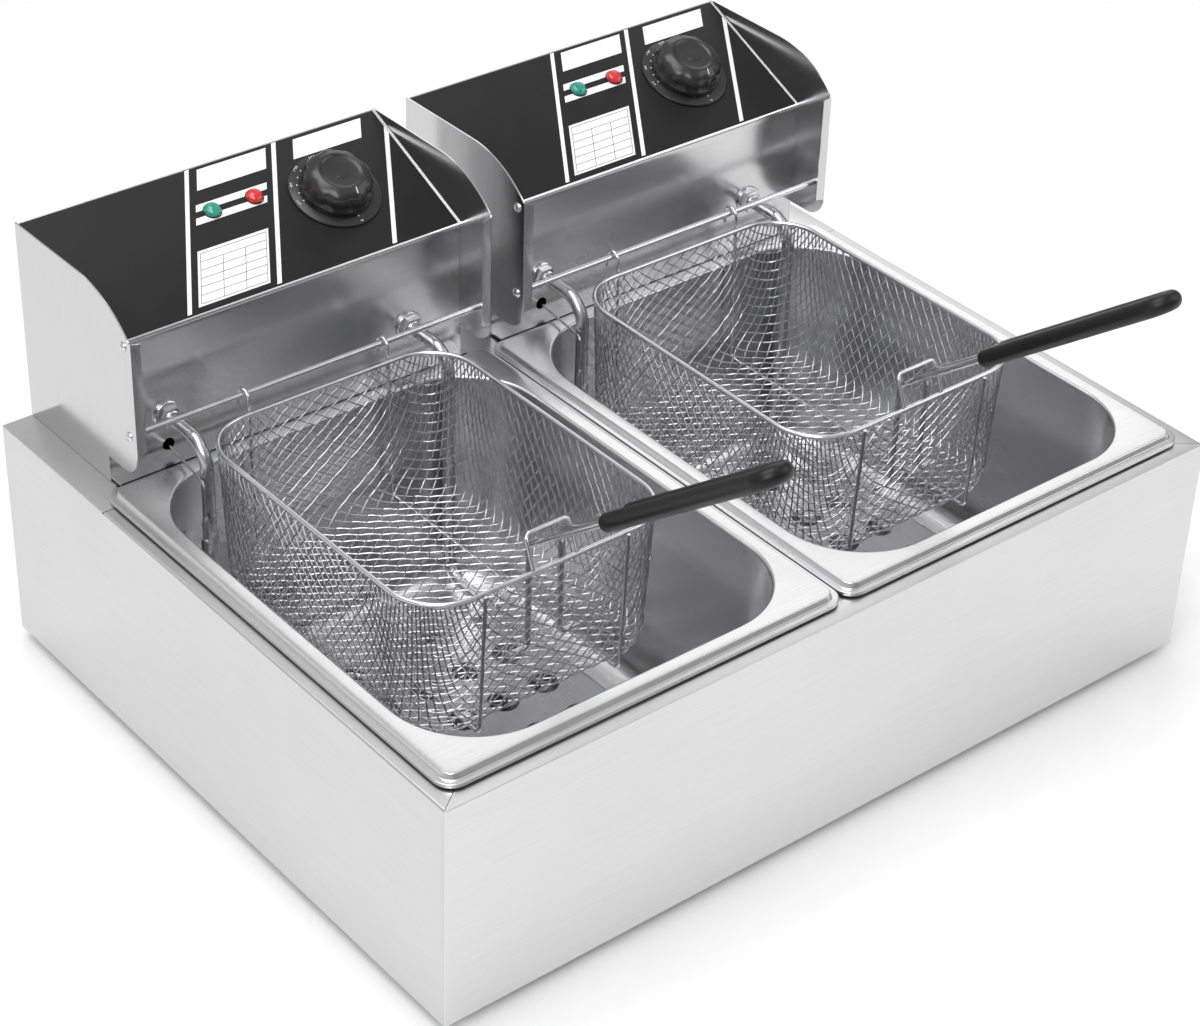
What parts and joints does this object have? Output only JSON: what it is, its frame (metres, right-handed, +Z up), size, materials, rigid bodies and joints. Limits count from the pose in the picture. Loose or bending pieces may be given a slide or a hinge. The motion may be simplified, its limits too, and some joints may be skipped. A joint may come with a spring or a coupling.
{
  "type": "deep fryer",
  "caption": "Countertop electric deep fryer with twin drop-in oil pans, lift-off sloped control heads with heating coils, and hanging wire baskets with dipped handles.",
  "frame": {"origin": "centre of the casing's footprint, on the surface that the feet stand on", "axes": "+X to the right as seen by the user, +Y to the back, +Z up"},
  "size_m": [0.56, 0.52, 0.3385],
  "materials": {
    "casing_steel": "satin stainless sheet",
    "pan_steel": "drawn stainless, soft sheen",
    "head_steel": "polished stainless sheet",
    "bright_wire": "bright plated wire",
    "element_steel": "satin stainless tube",
    "overlay_black": "printed polycarbonate sheet",
    "knob_black": "moulded, slightly glossy",
    "black_moulding": "moulded",
    "grip_black": "dipped vinyl",
    "foot_rubber": "matt",
    "lamp_green": "translucent lens",
    "lamp_red": "translucent lens"
  },
  "bodies": {
    "casing": {"front_panel": "casing_steel", "left_side_panel": "casing_steel", "right_side_panel": "casing_steel", "back_panel": "casing_steel", "rear_deck": "casing_steel", "centre_rail": "casing_steel", "base_plate": "casing_steel", "rubber_feet": "foot_rubber"},
    "left_pan": {"left_pan": "pan_steel"},
    "left_head": {"left_head_shell": "head_steel", "left_cheek_left": "head_steel", "left_cheek_right": "head_steel", "left_control_panel": "head_steel", "left_panel_overlay": "overlay_black", "left_basket_rail": "bright_wire", "left_cheek_screws": "bright_wire", "left_heating_element": "element_steel", "left_element_fittings": "bright_wire", "left_guard_plate": "pan_steel", "left_sensor_bulb": "element_steel", "left_sensor_clip": "element_steel", "left_thermostat": "black_moulding", "left_dial_ring": "knob_black", "left_green_lamp": "lamp_green", "left_red_lamp": "lamp_red", "left_cord_gland": "black_moulding"},
    "left_knob": {"left_knob": "knob_black", "left_knob_shaft": "bright_wire"},
    "left_basket": {"left_basket_mesh": "bright_wire", "left_basket_rim": "bright_wire", "left_basket_frame": "bright_wire", "left_handle_bracket": "bright_wire", "left_handle_wire": "bright_wire", "left_handle_grip": "grip_black"},
    "right_pan": {"right_pan": "pan_steel"},
    "right_head": {"right_head_shell": "head_steel", "right_cheek_left": "head_steel", "right_cheek_right": "head_steel", "right_control_panel": "head_steel", "right_panel_overlay": "overlay_black", "right_basket_rail": "bright_wire", "right_cheek_screws": "bright_wire", "right_heating_element": "element_steel", "right_element_fittings": "bright_wire", "right_guard_plate": "pan_steel", "right_sensor_bulb": "element_steel", "right_sensor_clip": "element_steel", "right_thermostat": "black_moulding", "right_dial_ring": "knob_black", "right_green_lamp": "lamp_green", "right_red_lamp": "lamp_red", "right_cord_gland": "black_moulding"},
    "right_knob": {"right_knob": "knob_black", "right_knob_shaft": "bright_wire"},
    "right_basket": {"right_basket_mesh": "bright_wire", "right_basket_rim": "bright_wire", "right_basket_frame": "bright_wire", "right_handle_bracket": "bright_wire", "right_handle_wire": "bright_wire", "right_handle_grip": "grip_black"}
  },
  "joints": [
    {"name": "left_pan_lift", "type": "slide", "parent": "casing", "child": "left_pan", "axis": [0, 0, 1], "range_m": [0, 0.15]},
    {"name": "left_head_lift", "type": "slide", "parent": "left_pan", "child": "left_head", "axis": [0, 0, 1], "range_m": [0, 0.15]},
    {"name": "left_basket_lift", "type": "slide", "parent": "left_head", "child": "left_basket", "axis": [0, 0, 1], "range_m": [0, 0.14]},
    {"name": "left_knob_turn", "type": "hinge", "parent": "left_head", "child": "left_knob", "pos_m": [-0.072, 0.17389, 0.26236], "axis": [0, 0.3971, -0.9178], "range_deg": [0, 248]},
    {"name": "right_pan_lift", "type": "slide", "parent": "casing", "child": "right_pan", "axis": [0, 0, 1], "range_m": [0, 0.15]},
    {"name": "right_head_lift", "type": "slide", "parent": "right_pan", "child": "right_head", "axis": [0, 0, 1], "range_m": [0, 0.15]},
    {"name": "right_basket_lift", "type": "slide", "parent": "right_head", "child": "right_basket", "axis": [0, 0, 1], "range_m": [0, 0.14]},
    {"name": "right_knob_turn", "type": "hinge", "parent": "right_head", "child": "right_knob", "pos_m": [0.2, 0.17389, 0.26236], "axis": [0, 0.3971, -0.9178], "range_deg": [0, 248]}
  ]
}
